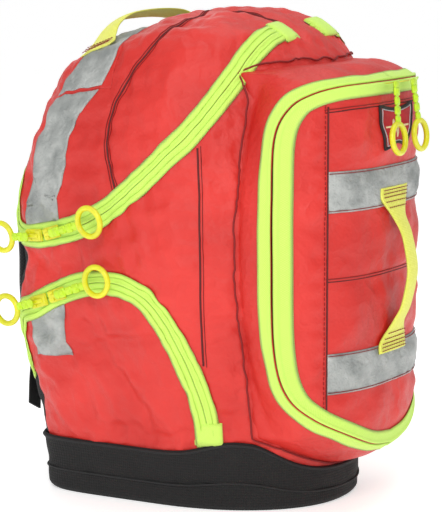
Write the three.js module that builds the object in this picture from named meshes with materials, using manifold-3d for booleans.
import * as THREE from 'three';
import Module from 'manifold-3d';

// Overall sizes, mm. +Z is up, -Y is the front with the outer pocket, +Y lies on the wearer's back.
const bodyWidth = 368;
const bodyHeight = 528;
const bodyFront = 192;
const bodyBack = 188;
const wall = 8;
const bootHeight = 62;
const boardThick = 4;
const pocketWidth = 292;
const pocketDepth = 26;
const pocketHeight = 390;
const lidThick = 7;
const gussetThick = 4;
const tapeWidth = 14;
const tapeThick = 2.2;
const trimThick = 1.2;
const webWidth = 25;
const webThick = 2.6;
const reflectiveWidth = 50;
const spineHalf = 26;
const ringOuter = 36;
const ringTube = 2.7;
const pullBar = 40;
const rearPullBar = 18;
const gap = 0.4;

// The outlines below are drawn for a 368 x 380 x 528 body and follow it when it changes.
const kx = bodyWidth / 368;
const ky = (bodyFront + bodyBack) / 380;
const kz = bodyHeight / 528;
const px = pocketWidth / 292;
const pz = pocketHeight / 390;
const pocketFoot = 69 * kz;

const wasm = await Module();
wasm.setup();

const root = new THREE.Group();
root.name = 'trauma_backpack';

const finish = {
  red: [0xd7352b, 0.45], yellow: [0xe9e61a, 0.4], lime: [0xc8f05a, 0.6], webbing: [0xf4f26a, 0.7],
  silver: [0xa3a8a4, 0.35], black: [0x242628, 0.7], plastic: [0x1c1d1f, 0.5], pad: [0x2e3033, 0.85], sheet: [0xdadcd6, 0.5],
};

// ---------------------------------------------------------------- solids

const v = (x, y, z) => new THREE.Vector3(x, y, z);
const solid = (points, triangles) => new wasm.Manifold(new wasm.Mesh({
  numProp: 3, vertProperties: new Float32Array(points.flat()), triVerts: new Uint32Array(triangles.flat()),
}));

// Rings of equal length, capped at both ends by flat polygons.
function loft(drawnRings, toPlane) {
  const n = drawnRings[0].length;
  const to2d = (ring) => ring.map(toPlane).map(([a, b]) => new THREE.Vector2(a, b));
  const turned = THREE.ShapeUtils.isClockWise(to2d(drawnRings[0]));
  const rings = turned ? drawnRings.map((ring) => [...ring].reverse()) : drawnRings;
  const flat = to2d(rings[0]);
  const cap = THREE.ShapeUtils.triangulateShape(flat, []);
  const tris = [];
  for (let r = 0; r + 1 < rings.length; r++) {
    for (let i = 0; i < n; i++) {
      const j = (i + 1) % n;
      const a = r * n + i, b = r * n + j;
      tris.push([a, b, b + n], [a, b + n, a + n]);
    }
  }
  const last = (rings.length - 1) * n;
  for (const [a, b, c] of cap) tris.push([c, b, a], [last + a, last + b, last + c]);
  const points = rings.flat();
  const made = solid(points, tris);
  return made.volume() > 0 ? made : solid(points, tris.map(([a, b, c]) => [a, c, b]));
}

const prismX = (outline, x0, x1) => loft([x0, x1].map((x) => outline.map(([y, z]) => [x, y, z])), (p) => [p[1], p[2]]);
const prismY = (outline, y0, y1) => loft([y0, y1].map((y) => outline.map(([x, z]) => [x, y, z])), (p) => [p[0], p[2]]);
const prismZ = (outline, z0, z1) => loft([z0, z1].map((z) => outline.map(([x, y]) => [x, y, z])), (p) => [p[0], p[1]]);
const box = (x0, x1, y0, y1, z0, z1) => prismX([[y0, z0], [y1, z0], [y1, z1], [y0, z1]], x0, x1);

// Moves every corner of a closed outline outwards by d; outlines run anticlockwise.
function grow(outline, d) {
  const n = outline.length;
  const unit = (a, b) => {
    const l = Math.hypot(b[0] - a[0], b[1] - a[1]) || 1;
    return [(b[1] - a[1]) / l, -(b[0] - a[0]) / l];
  };
  return outline.map((p, i) => {
    const a = unit(outline[(i + n - 1) % n], p), b = unit(p, outline[(i + 1) % n]);
    const s = Math.max(0.35, 1 + a[0] * b[0] + a[1] * b[1]);
    return [p[0] + d * (a[0] + b[0]) / s, p[1] + d * (a[1] + b[1]) / s];
  });
}

// The strip between two offsets of an open line, to its right when d is positive.
function ribbon(line, d0, d1) {
  const shift = (d) => line.map((p, i) => {
    const a = line[Math.max(0, i - 1)], b = line[Math.min(line.length - 1, i + 1)];
    const l = Math.hypot(b[0] - a[0], b[1] - a[1]);
    return [p[0] + d * (b[1] - a[1]) / l, p[1] - d * (b[0] - a[0]) / l];
  });
  return [...shift(d0), ...shift(d1).reverse()];
}

const mirror = (shape) => shape.mirror([1, 0, 0]);
const largest = (shape) => shape.decompose().sort((a, b) => b.volume() - a.volume())[0];

function put(name, shape, kind) {
  const mesh = largest(shape).simplify(0.12).getMesh();
  const geometry = new THREE.BufferGeometry();
  geometry.setAttribute('position', new THREE.BufferAttribute(new Float32Array(mesh.vertProperties), 3));
  geometry.setIndex(new THREE.BufferAttribute(new Uint32Array(mesh.triVerts), 1));
  geometry.computeVertexNormals();
  const [colour, roughness] = finish[kind];
  const piece = new THREE.Mesh(geometry, new THREE.MeshStandardMaterial({ color: colour, roughness, metalness: 0 }));
  piece.name = name;
  root.add(piece);
}

// ---------------------------------------------------------------- the stuffed body

const smooth = (v) => { const k = Math.min(1, Math.max(0, v)); return k * k * (3 - 2 * k); };

// Below zero inside the body shrunk by t: a leaning oval in front, a squarer back, a domed top.
function body(x, y, z, t) {
  const k = smooth(z / (331 * kz));
  const waist = 9 * Math.exp(-(((z / kz - 262) / 34) ** 2)) * smooth((y - 20) / 120);
  const a = (bodyWidth / 2) * (0.69 + 0.31 * k) - waist - t;
  const f = bodyFront * (0.85 + 0.15 * k) - t;
  const b = bodyBack * (0.825 + 0.175 * k) - waist - t;
  const across = Math.abs(x / a);
  const plan = y < 0 ? (across ** 2.15 + Math.abs(y / f) ** 2.15) ** (1 / 2.15) : (across ** 7 + (y / b) ** 7) ** (1 / 7);
  const u = y / ky + 40;
  const drop = (u < 0 ? 37 * (u / 100) ** 2 : 42 * (u / 150) ** 2) + 29 * (Math.abs(x / kx) / 150) ** 2.2;
  const top = (z / kz - (528 - drop)) * 0.85 * kz + 0.85 * t;
  const side = Math.max(0, 1 + ((plan - 1) * 150) / 55);
  const roof = Math.max(0, 1 + top / (254 * kz));
  const floor = Math.max(0, 1 + (-z - 8 + t) / 18);
  return Math.hypot(side, roof, floor) - 1;
}

// Facets are split the other way on the +X half, so that both halves are exact mirror images.
const onRight = (i, n) => Math.cos((2 * Math.PI * (i + 0.5)) / n) > 0;
const quad = (a, b, c, d, turned) => (turned ? [[a, b, d], [b, c, d]] : [[a, b, c], [a, c, d]]);

function bodySolid(t) {
  const around = 36, up = 22;
  const centre = [0, 0, 255 * kz];
  const hit = (dx, dy, dz) => {
    let near = 0, far = 700;
    for (let i = 0; i < 26; i++) {
      const m = (near + far) / 2;
      if (body(centre[0] + dx * m, centre[1] + dy * m, centre[2] + dz * m, t) < 0) near = m; else far = m;
    }
    return [centre[0] + dx * near, centre[1] + dy * near, centre[2] + dz * near];
  };
  const points = [hit(0, 0, -1)];
  for (let j = 1; j < up; j++) {
    const e = -Math.PI / 2 + (Math.PI * j) / up;
    for (let i = 0; i < around; i++) {
      const a = (2 * Math.PI * i) / around;
      points.push(hit(Math.cos(a) * Math.cos(e), Math.sin(a) * Math.cos(e), Math.sin(e)));
    }
  }
  points.push(hit(0, 0, 1));
  const tris = [];
  const at = (j, i) => 1 + (j - 1) * around + (i % around);
  for (let i = 0; i < around; i++) {
    tris.push([0, at(1, i + 1), at(1, i)], [points.length - 1, at(up - 1, i), at(up - 1, i + 1)]);
    const right = onRight(i, around);
    for (let j = 1; j < up - 1; j++) tris.push(...quad(at(j, i), at(j, i + 1), at(j + 1, i + 1), at(j + 1, i), right));
  }
  return solid(points, tris);
}

const big = 700;
const outer = bodySolid(0);
const inner = bodySolid(wall);
const skin = (low, high) => bodySolid(-high).subtract(bodySolid(-low));
const shell = outer.subtract(inner);

// A point on the body's surface reached by going from p along the direction, with its outward normal.
function surface(p, dir) {
  let near = 0, far = 700;
  const at = (m) => p.clone().addScaledVector(dir, m);
  const level = (q) => body(q.x, q.y, q.z, 0);
  for (let i = 0; i < 30; i++) { const m = (near + far) / 2; if (level(at(m)) < 0) near = m; else far = m; }
  const hit = at(near);
  const slope = (x, y, z) => level(hit.clone().add(v(x, y, z))) - level(hit.clone().sub(v(x, y, z)));
  return { p: hit, n: v(slope(0.5, 0, 0), slope(0, 0.5, 0), slope(0, 0, 0.5)).normalize() };
}

// ---------------------------------------------------------------- boot

// The boot is highest at the front corners and low in the middle of the front.
function bootTop(angle) {
  const front = Math.max(0, -Math.sin(angle));
  return (bootHeight + 14 * Math.exp(-(((front - 0.62) / 0.25) ** 2)) - 22 * smooth((front - 0.7) / 0.3)) * kz;
}

function bootCutter(lift) {
  const n = 36;
  const ring = (r, z) => Array.from({ length: n }, (_, i) => {
    const a = (2 * Math.PI * i) / n;
    return [r * Math.cos(a), r * Math.sin(a), z ?? bootTop(a) + lift];
  });
  const rings = [ring(500, -60), ring(500), ring(60), ring(60, -40)];
  const points = rings.flat();
  const tris = [];
  for (let r = 0; r < 4; r++) {
    for (let i = 0; i < n; i++) {
      const a = r * n + i, b = r * n + ((i + 1) % n), c = ((r + 1) % 4) * n + ((i + 1) % n), d = ((r + 1) % 4) * n + i;
      tris.push(...quad(a, b, c, d, onRight(i, n)));
    }
  }
  const ringBody = solid(points, tris);
  return ringBody.volume() > 0 ? ringBody : solid(points, tris.map(([a, b, c]) => [a, c, b]));
}

const aboveFloor = box(-big, big, -big, big, 0, big * 2);
const core = box(-100 * kx, 100 * kx, -90 * ky, 90 * ky, -60, 20 * kz);
const bootOuter = bodySolid(-1.2).intersect(bootCutter(0).add(core)).intersect(aboveFloor);
put('base_boot', bootOuter.subtract(bodySolid(wall).intersect(box(-big, big, -big, big, 6, big))), 'black');
put('base_board', bodySolid(wall + gap).intersect(box(-big, big, -big, big, 6 + gap, 6 + gap + boardThick)), 'plastic');

const fixedShell = shell.subtract(bootCutter(gap)).intersect(box(-big, big, -big, big, 30 * kz, big));

// ---------------------------------------------------------------- side openings

const cornerY = -112 * ky;
const scaled = (list) => list.map(([y, z]) => [y * ky, z * kz]);
const upperZip = scaled([[-116, 560], [-112, 526], [-109, 509], [-103, 491], [-92, 459], [-67, 415], [-27, 371],
  [0, 346], [25, 325], [60, 306], [110, 292], [150, 288], [260, 287]]);
const lowerZip = scaled([[-66, 40], [-66, 70], [-66, 105], [-58, 145], [-41, 195], [-20, 230], [0, 242], [21, 247],
  [45, 246], [75, 238], [111, 222], [150, 206], [260, 200]]);
// How far out the back edge zips run, seen from behind.
const upperBack = [[151, 250], [151, 340], [147, 385], [134, 425], [117, 452], [100, 476]].map(([x, z]) => [x * kx, z * kz]);
const lowerBack = [[119, 40], [123, 75], [134, 120], [146, 170], [151, 240]].map(([x, z]) => [x * kx, z * kz]);

const backStart = 120 * ky;
const backHalf = 151 * kx;
const backPlate = (line, d) => {
  const inset = line.map(([x, z]) => [x - d, z]);
  return prismY([...inset, ...inset.map(([x, z]) => [-x, z]).reverse()], backStart, big);
};

// The upper wings turn about lines beside the spine. The yoke behind them ends on a cylinder about
// that line, so a wing passes it.
const upperHinge = { x: -spineHalf - 1, z: bodyHeight + 3 };
const yokeReach = 146 * Math.min(kx, kz);
const yokeStart = 40 * ky;
function yokeZone(d) {
  const circle = Array.from({ length: 64 }, (_, i) => (2 * Math.PI * i) / 64)
    .map((a) => [upperHinge.x + (yokeReach + d) * Math.cos(a), upperHinge.z + (yokeReach + d) * Math.sin(a)]);
  return prismY(circle, yokeStart - d, big);
}

const upperOutline = [...upperZip, [260 * ky, 560 * kz]];
const lowerOutline = [...lowerZip, [260 * ky, 40 * kz]].reverse();
const upperCut = prismX(upperOutline, -big, -spineHalf).subtract(backPlate(upperBack, 0)).subtract(yokeZone(0));
const lowerCut = prismX(lowerOutline, -big, -20).subtract(backPlate(lowerBack, 0));

const fixed = fixedShell.subtract(upperCut).subtract(mirror(upperCut)).subtract(lowerCut).subtract(mirror(lowerCut));

const wingUpper = shell
  .intersect(prismX(grow(upperOutline, -gap), -big, -spineHalf - gap))
  .subtract(backPlate(upperBack, -gap)).subtract(yokeZone(gap));
const wingLower = shell
  .intersect(prismX(grow(lowerOutline, -gap), -big, -20))
  .subtract(backPlate(lowerBack, -gap))
  .subtract(bootCutter(gap * 2));
put('wing_upper_left', wingUpper, 'red');
put('wing_upper_right', mirror(wingUpper), 'red');
put('wing_lower_left', wingLower, 'red');
put('wing_lower_right', mirror(wingLower), 'red');

// ---------------------------------------------------------------- fixed panels

const yokeZ = 452 * kz;
const yokeBackZ = 400 * kz;
const half = gap / 2;
const everything = box(-big, big, -big, big, -big, big * 2);
const yokeBlock = (d) => box(-big, big, cornerY + d, big, yokeZ + d, big * 2)
  .add(box(-big, big, 100 * ky + d, big, yokeBackZ + d, big * 2));
put('front_wall', fixed.intersect(box(-big, big, -big, cornerY - half, 0, big)), 'red');
put('top_yoke', fixed.intersect(yokeBlock(half)), 'red');
const belowYoke = fixed.intersect(everything.subtract(yokeBlock(-half)));
const backBlock = (d) => box(-backHalf - d, backHalf + d, backStart - d, big, 0, big);
put('back_wall', belowYoke.intersect(backBlock(-half)), 'black');
const sideWall = belowYoke.intersect(box(-big, -spineHalf, cornerY + half, big, 0, big)).subtract(backBlock(half));
put('side_wall_left', sideWall, 'red');
put('side_wall_right', mirror(sideWall), 'red');

const sheetY = 138 * ky;
put('frame_sheet', bodySolid(wall + gap).intersect(box(-105 * kx, 105 * kx, sheetY, sheetY + 4, 20 * kz, 420 * kz)), 'sheet');
put('divider_shelf', bodySolid(wall + gap).intersect(box(-big, big, -110 * ky, sheetY - gap, 258 * kz, 258 * kz + boardThick)),
  'red');

// ---------------------------------------------------------------- zips round the side openings

const tapeSkin = skin(gap, gap + tapeThick);

const upperTapeSide = prismX(ribbon(upperZip.slice(1), gap, tapeWidth), -big, -6);
const upperTapeBack = backPlate(upperBack, gap).subtract(backPlate(upperBack, tapeWidth))
  .intersect(box(-big, 0, 0, big, (288 - tapeWidth) * kz, yokeZ));
const upperTape = tapeSkin.intersect(upperTapeSide.subtract(backPlate(upperBack, tapeWidth)).add(upperTapeBack))
  .intersect(box(-big, -6, -big, big, 0, big));
const lowerTapeSide = prismX(ribbon(lowerZip, -gap, -tapeWidth), -big, -20);
const lowerTapeBack = backPlate(lowerBack, gap).subtract(backPlate(lowerBack, tapeWidth))
  .intersect(box(-big, 0, 0, big, 0, 212 * kz));
const lowerTape = tapeSkin.intersect(lowerTapeSide.subtract(backPlate(lowerBack, tapeWidth)).add(lowerTapeBack))
  .subtract(bootCutter(gap * 3));
put('zip_upper_left', upperTape, 'lime');
put('zip_upper_right', mirror(upperTape), 'lime');
put('zip_lower_left', lowerTape, 'lime');
put('zip_lower_right', mirror(lowerTape), 'lime');

// ---------------------------------------------------------------- reflective stripes

const stripeLine = scaled([[122, 40], [116, 100], [112, 150], [112, 217], [114, 290], [112, 340], [106, 400], [98, 425], [84, 450],
  [75, 468], [70, 500], [68, 560]]);
const stripeSkin = skin(gap, gap + trimThick);
const stripe = stripeSkin.intersect(prismX(ribbon(stripeLine, -reflectiveWidth / 2, reflectiveWidth / 2), -big, 0));
const upperStripe = stripe.intersect(prismX(grow(upperOutline, -6), -big, -spineHalf - gap)).subtract(yokeZone(3))
  .subtract(backPlate(upperBack, -gap * 2));
const lowerStripe = stripe.intersect(prismX(grow(lowerOutline, -6), -big, -20))
  .subtract(bootCutter(gap * 3)).subtract(backPlate(lowerBack, -gap * 2));
put('stripe_upper_left', upperStripe, 'silver');
put('stripe_upper_right', mirror(upperStripe), 'silver');
put('stripe_lower_left', lowerStripe, 'silver');
put('stripe_lower_right', mirror(lowerStripe), 'silver');
put('stripe_top', stripeSkin.intersect(prismX(ribbon(stripeLine, -reflectiveWidth / 2, reflectiveWidth / 2), -big, big))
  .intersect(yokeZone(-3).add(mirror(yokeZone(-3)))).intersect(box(-big, big, -big, 130 * ky, 300 * kz, big)), 'silver');

// ---------------------------------------------------------------- front pocket

const frontLine = [[0, 390], [46, 390], [90, 388], [118, 381], [135, 367], [145, 337], [146, 275], [146, 216], [145, 118],
  [136, 69], [116, 43], [84, 24], [40, 6], [0, 0]];
const pocketOutline = [...frontLine.slice(1, -1).map(([x, z]) => [x, z]).reverse(), [0, 390],
  ...frontLine.slice(1, -1).map(([x, z]) => [-x, z]), [0, 0]].map(([x, z]) => [x * px, z * pz + pocketFoot]);
const lidLine = (x) => -(bodyFront + pocketDepth) + 66 * (Math.abs(x) / (146 * px)) ** 3;

function behindLid(d) {
  const w = 175 * px;
  const face = Array.from({ length: 19 }, (_, i) => -w + (2 * w * i) / 18).map((x) => [x, lidLine(x) + d]);
  return prismZ([...face, [w, 0], [-w, 0]], -20, big);
}

// The pocket grows towards the body, more at the top and the bottom, and ends on the body's front corners.
function pocketSolid(d) {
  const front = grow(pocketOutline, -d);
  const middle = pocketFoot + pocketHeight / 2;
  const back = front.map(([x, z]) => {
    const k = Math.abs(z - middle) / (pocketHeight / 2);
    const low = z + Math.sign(z - middle) * (z > middle ? 17 : 26) * smooth((k - 0.45) / 0.55);
    const corner = surface(v(0, cornerY, Math.min(low, 440 * kz)), v(1, 0, 0)).p.x - d;
    return [Math.sign(x) * Math.min(Math.abs(x) * 1.035, corner), low];
  });
  const at = (list, y) => list.map(([x, z]) => [x, typeof y === 'function' ? y(x) : y, z]);
  const meet = (x) => cornerY - 50 * ky * (1 - Math.min(1, Math.abs(x) / (150 * px)) ** 2);
  return loft([at(front, -big), at(front, lidLine), at(back, meet), at(back, -60 * ky)], (p) => [p[0], p[2]]);
}

const zipRoom = bodySolid(-gap * 2 - tapeThick).intersect(prismX(ribbon(upperZip.slice(1), -1, tapeWidth + 1), -big, 0));
const bodyGrown = bodySolid(-gap).add(bodySolid(-1.2 - gap).intersect(bootCutter(gap))).add(zipRoom).add(mirror(zipRoom));
const lidFront = behindLid(0);
put('pocket_gusset', pocketSolid(0).subtract(pocketSolid(gussetThick)).intersect(lidFront).subtract(bodyGrown), 'red');
put('zip_front', pocketSolid(-gap - tapeThick).subtract(pocketSolid(-gap)).intersect(lidFront)
  .subtract(behindLid(tapeWidth)).subtract(bodyGrown), 'lime');
put('front_lid', pocketSolid(gussetThick + gap).intersect(lidFront).subtract(behindLid(lidThick)), 'red');

const lidSkin = behindLid(-gap - trimThick).subtract(behindLid(-gap)).intersect(pocketSolid(gussetThick + 12));
const bandLift = { upper: 264 * pz + pocketFoot, lower: 73 * pz + pocketFoot };
for (const [level, z] of Object.entries(bandLift)) {
  const reach = 103 * px;
  put(`band_${level}`, lidSkin.intersect(box(-reach, reach, -big, 0, z, z + 43 * pz)), 'silver');
}
const patchZ = pocketFoot + 341 * pz;
const shield = [[-38, 24], [-34, 5], [-26, -22], [0, -16], [26, -22], [34, 5], [38, 24], [0, 19]];
put('patch', lidSkin.intersect(prismY(shield.map(([x, z]) => [x, z + patchZ]), -big, 0)), 'black');

// ---------------------------------------------------------------- webbing handles

// A flat strap swept along points, its width along the given direction at each point.
function strap(points, across, width, thick) {
  const n = points.length;
  const rings = points.map((p, i) => {
    const along = points[Math.min(n - 1, i + 1)].clone().sub(points[Math.max(0, i - 1)]).normalize();
    const w = across(p, i).clone().addScaledVector(along, -along.dot(across(p, i))).normalize();
    const h = along.clone().cross(w).normalize();
    const size = Array.isArray(width) ? width[i] : width;
    return [[-1, -1], [1, -1], [1, 1], [-1, 1]].map(([a, b]) => p.clone()
      .addScaledVector(w, (a * size) / 2).addScaledVector(h, (b * thick) / 2).toArray());
  });
  const tris = [[2, 1, 0], [3, 2, 0]];
  const last = (n - 1) * 4;
  tris.push([last, last + 1, last + 2], [last, last + 2, last + 3]);
  for (let r = 0; r + 1 < n; r++) {
    for (let i = 0; i < 4; i++) {
      const a = r * 4 + i, b = r * 4 + ((i + 1) % 4);
      tris.push([a, b, b + 4], [a, b + 4, a + 4]);
    }
  }
  const made = solid(rings.flat(), tris);
  return made.volume() > 0 ? made : solid(rings.flat(), tris.map(([a, b, c]) => [a, c, b]));
}

const handleTop = bandLift.upper - 6 * pz;
const handleLow = bandLift.lower + 48 * pz;
const lidY = lidLine(0) - gap - trimThick - 1.9;
const handlePath = [[0, 10], [0, -2], [-6, -20], [-15, -38], [-21, -62]];
const gripWidths = Array(5).fill(webWidth);
const drawn = handlePath.map(([y, z]) => v(0, lidY + y, handleTop + z));
const mirrored = handlePath.map(([y, z]) => v(0, lidY + y, handleLow - z)).reverse();
put('front_handle', strap([...drawn, v(0, lidY - 23, (handleTop + handleLow) / 2), ...mirrored], () => v(1, 0, 0),
  [64, 60, 32, ...gripWidths, 32, 60, 64], webThick), 'webbing');

// The carry handle bridges the top, its wide ends sewn on over the stripe.
const handleX = [-121, -112, -100, -80, -50, 0, 50, 80, 100, 112, 121];
const handleLift = [5, 5, 9, 17, 22, 22, 22, 17, 9, 5, 5];
const overTop = handleX.map((x) => surface(v(x * kx, 74 * ky, 300 * kz), v(0, 0, 1)));
put('top_handle', strap(overTop.map(({ p, n }, i) => p.clone().addScaledVector(n, handleLift[i])),
  (p, i) => v(0, overTop[i].n.z, -overTop[i].n.y), [44, 42, 32, ...gripWidths, 32, 42, 44], webThick), 'webbing');

// ---------------------------------------------------------------- sliders and pulls

function slab(frame, a0, a1, b0, b1, c0, c1) {
  const { o, d, w, n } = frame;
  const at = (a, b, c) => o.clone().addScaledVector(d, a).addScaledVector(w, b).addScaledVector(n, c).toArray();
  const ring = (a) => [at(a, b0, c0), at(a, b1, c0), at(a, b1, c1), at(a, b0, c1)];
  const points = [...ring(a0), ...ring(a1)];
  const tris = [[0, 2, 1], [0, 3, 2], [4, 5, 6], [4, 6, 7]];
  for (let i = 0; i < 4; i++) { const j = (i + 1) % 4; tris.push([i, j, j + 4], [i, j + 4, i + 4]); }
  const made = solid(points, tris);
  return made.volume() > 0 ? made : solid(points, tris.map(([p, q, r]) => [p, r, q]));
}

function ringSolid(frame, along, radius, tube) {
  const big1 = 14, small = 6;
  const { o, d, w, n } = frame;
  const points = [], tris = [];
  for (let i = 0; i < big1; i++) {
    for (let j = 0; j < small; j++) {
      const a = (2 * Math.PI * i) / big1, b = (2 * Math.PI * j) / small;
      const r = radius + tube * Math.cos(b);
      points.push(o.clone().addScaledVector(d, along + r * Math.cos(a)).addScaledVector(w, r * Math.sin(a))
        .addScaledVector(n, tube * Math.sin(b)).toArray());
      const i2 = (i + 1) % big1, j2 = (j + 1) % small;
      const p = i * small + j, q = i2 * small + j, s = i2 * small + j2, t = i * small + j2;
      tris.push([p, q, s], [p, s, t]);
    }
  }
  const made = solid(points, tris);
  return made.volume() > 0 ? made : solid(points, tris.map(([p, q, s]) => [p, s, q]));
}

const sliderLength = 22, sliderWidth = 14, sliderHeight = 7;

// d runs along the pull, n outwards; the slider's near end is at o.
function sliderSolid(frame) {
  const block = slab(frame, 0, sliderLength, -sliderWidth / 2, sliderWidth / 2, 0, sliderHeight - 3);
  const bridge = slab(frame, 4, sliderLength - 3, -2.5, 2.5, 0, sliderHeight);
  return block.add(bridge);
}

function pullSolid(frame, length = pullBar) {
  const start = sliderLength - 1.5;
  const lift = sliderHeight + gap;
  const raised = { ...frame, o: frame.o.clone().addScaledVector(frame.n, lift + ringTube) };
  const bar = slab(raised, start - 6, start + length, -5, 5, -ringTube, ringTube * 0.6);
  const mean = ringOuter / 2 - ringTube;
  return bar.add(ringSolid(raised, start + length + mean - 1, mean, ringTube));
}

// A pair of sliders meets end to end on an opening's zip, each with its pull pointing away.
function sliderFrame(y, z, dy, dz) {
  const { p, n } = surface(v(0, y * ky, z * kz), v(-1, 0, 0));
  const d = v(0, dy, dz).addScaledVector(n, -n.dot(v(0, dy, dz))).normalize();
  return { o: p.clone().addScaledVector(n, gap * 2 + tapeThick + trimThick), d, n, w: n.clone().cross(d).normalize() };
}

const sideSliders = {
  upper_front: sliderFrame(106, 294, -0.95, 0.3), upper_rear: sliderFrame(110, 293, 0.97, -0.1),
  lower_front: sliderFrame(104, 225, -0.93, 0.33), lower_rear: sliderFrame(108, 223, 0.97, -0.3),
};
for (const [name, frame] of Object.entries(sideSliders)) {
  put(`slider_${name}_left`, sliderSolid(frame), 'lime');
  const pull = pullSolid(frame, name.endsWith('rear') ? rearPullBar : pullBar);
  put(`pull_${name}_left`, pull, 'yellow');
  put(`slider_${name}_right`, mirror(sliderSolid(frame)), 'lime');
  put(`pull_${name}_right`, mirror(pull), 'yellow');
}

const zipTopZ = pocketFoot + pocketHeight;
const frontSlider = {
  o: v(-1.5, lidLine(0) - gap * 2 - trimThick, zipTopZ - 2), d: v(-1, 0, 0), n: v(0, -1, 0), w: v(0, 0, 1),
};
// The front pulls hang from the sliders' outer ends.
const hang = { o: v(-19, frontSlider.o.y, zipTopZ + 14), d: v(-0.1, -0.12, -1).normalize(), n: v(0, -1, 0.12).normalize() };
hang.w = hang.n.clone().cross(hang.d).normalize();
put('slider_front_left', sliderSolid(frontSlider), 'lime');
put('slider_front_right', mirror(sliderSolid(frontSlider)), 'lime');
put('pull_front_left', pullSolid(hang), 'yellow');
put('pull_front_right', mirror(pullSolid(hang)), 'yellow');

// ---------------------------------------------------------------- wearer's side

const padThick = 8;
const lumbarThick = 11;
const strapThick = 10;
const backReach = (x0, x1, z0, z1) => box(x0, x1, 60 * ky, big, z0 * kz, z1 * kz);
put('back_pad', skin(gap, padThick).intersect(backReach(-100 * kx, 100 * kx, 165, 430)), 'pad');
put('lumbar_pad', skin(gap, lumbarThick).intersect(backReach(-92 * kx, 92 * kx, bootHeight + 12, 150)), 'pad');

// A point the given distance off the back of the body, on the left.
const offBack = (x, z, lift) => surface(v(-x * kx, 20, z * kz), v(0, 1, 0)).p.add(v(0, lift, 0));
const strapLift = padThick + gap + strapThick / 2;
const strapWidth = 56;
const strapBow = 16;
// Across, up, and the share of the bow that lifts the strap off the pad for an arm.
const strapLine = [[44, 418, 0.1], [45, 400, 0.25], [47, 370, 0.6], [52, 330, 0.93], [58, 290, 1], [62, 250, 0.9], [65, 215, 0.5], [66, 192, 0.3]];
const shoulder = strap(strapLine.map(([x, z, share]) => offBack(x, z, strapLift + share * strapBow)), () => v(1, 0, 0),
  strapWidth, strapThick);
put('shoulder_strap_left', shoulder, 'pad');
put('shoulder_strap_right', mirror(shoulder), 'pad');
const lockAt = offBack(66, 180, strapLift + 5);
const lock = box(lockAt.x - 17, lockAt.x + 17, lockAt.y - 3, lockAt.y + 3, lockAt.z - 12, lockAt.z + 7);
put('ladder_lock_left', lock, 'plastic');
put('ladder_lock_right', mirror(lock), 'plastic');
const webLine = [[66, 162, 17], [76, 138, 19], [88, 110, 19], [100, 86, 17]];
const web = strap(webLine.map(([x, z, lift]) => offBack(x, z, lift)), () => v(1, 0, 0), webWidth, webThick);
put('strap_web_left', web, 'black');
put('strap_web_right', mirror(web), 'black');

export default root;
